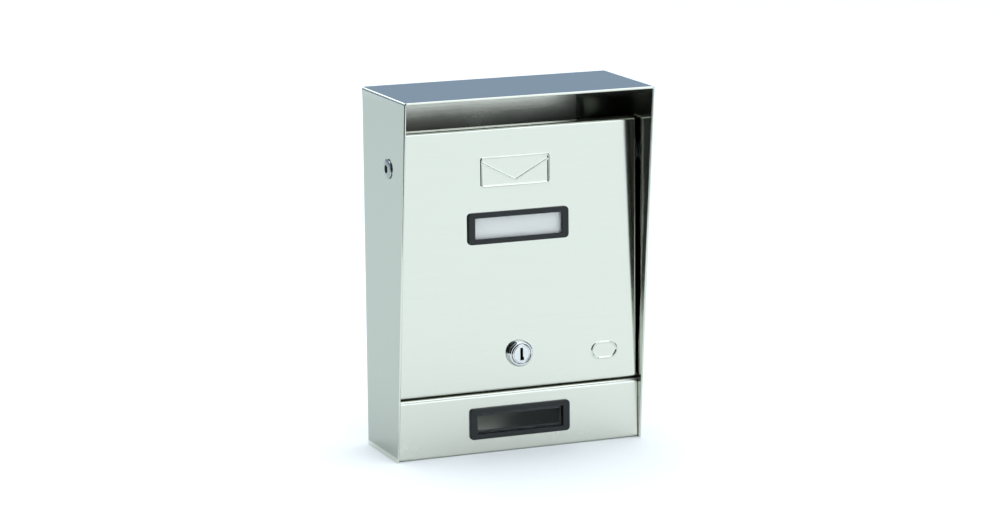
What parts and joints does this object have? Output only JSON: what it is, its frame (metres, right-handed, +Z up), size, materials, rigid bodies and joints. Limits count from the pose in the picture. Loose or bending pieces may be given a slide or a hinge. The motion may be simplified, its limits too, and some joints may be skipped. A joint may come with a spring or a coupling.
{
  "type": "wall mounted mailbox",
  "caption": "Stainless wall letterbox: folded hood over a folded body, top-hung front door with name holder and cam lock, letter slot under the roof and a small window below.",
  "frame": {"origin": "middle of the base: halfway across the width and halfway from the wall face to the roof's front edge, at the lowest face", "axes": "+Z up, +Y towards the wall, -Y out of the door, +X to the right as seen from the front"},
  "size_m": [0.2038, 0.093, 0.276],
  "materials": {
    "stainless": "bright, fine grain",
    "rivet_steel": "plain",
    "screw_steel": "turned",
    "black_nylon": "moulded",
    "black_abs": "satin moulded",
    "clear_acrylic": "clear acrylic sheet",
    "white_card": "smooth card, blank",
    "chromed_zinc": "bright chrome plate on die-cast zinc",
    "zinc_plate": "bright zinc plate"
  },
  "bodies": {
    "box": {"hood": "stainless", "body": "stainless", "rivet_left_1": "rivet_steel", "rivet_left_2": "rivet_steel", "rivet_left_3": "rivet_steel", "rivet_right_1": "rivet_steel", "rivet_right_2": "rivet_steel", "rivet_right_3": "rivet_steel", "pivot_screw_left": "screw_steel", "pivot_screw_right": "screw_steel", "pivot_washer_left": "screw_steel", "pivot_washer_right": "screw_steel", "pivot_nut_left": "screw_steel", "pivot_nut_right": "screw_steel", "pivot_spacer_left": "black_nylon", "pivot_spacer_right": "black_nylon", "window_frame": "black_abs", "window_lens": "clear_acrylic", "window_retainer": "black_abs"},
    "door": {"door_panel": "stainless", "name_frame": "black_abs", "name_lens": "clear_acrylic", "name_card": "white_card", "name_backplate": "black_abs", "lock_housing": "chromed_zinc", "lock_nut": "zinc_plate"},
    "lock": {"lock_plug": "chromed_zinc", "lock_cam": "zinc_plate", "lock_cam_screw": "screw_steel"}
  },
  "joints": [
    {"name": "door_hinge", "type": "hinge", "parent": "box", "child": "door", "pos_m": [0, -0.01, 0.222], "axis": [-1, 0, 0], "range_deg": [0, 125]},
    {"name": "lock_turn", "type": "hinge", "parent": "door", "child": "lock", "pos_m": [0, -0.0175, 0.0751], "axis": [0, 1, 0], "range_deg": [0, 90]}
  ]
}
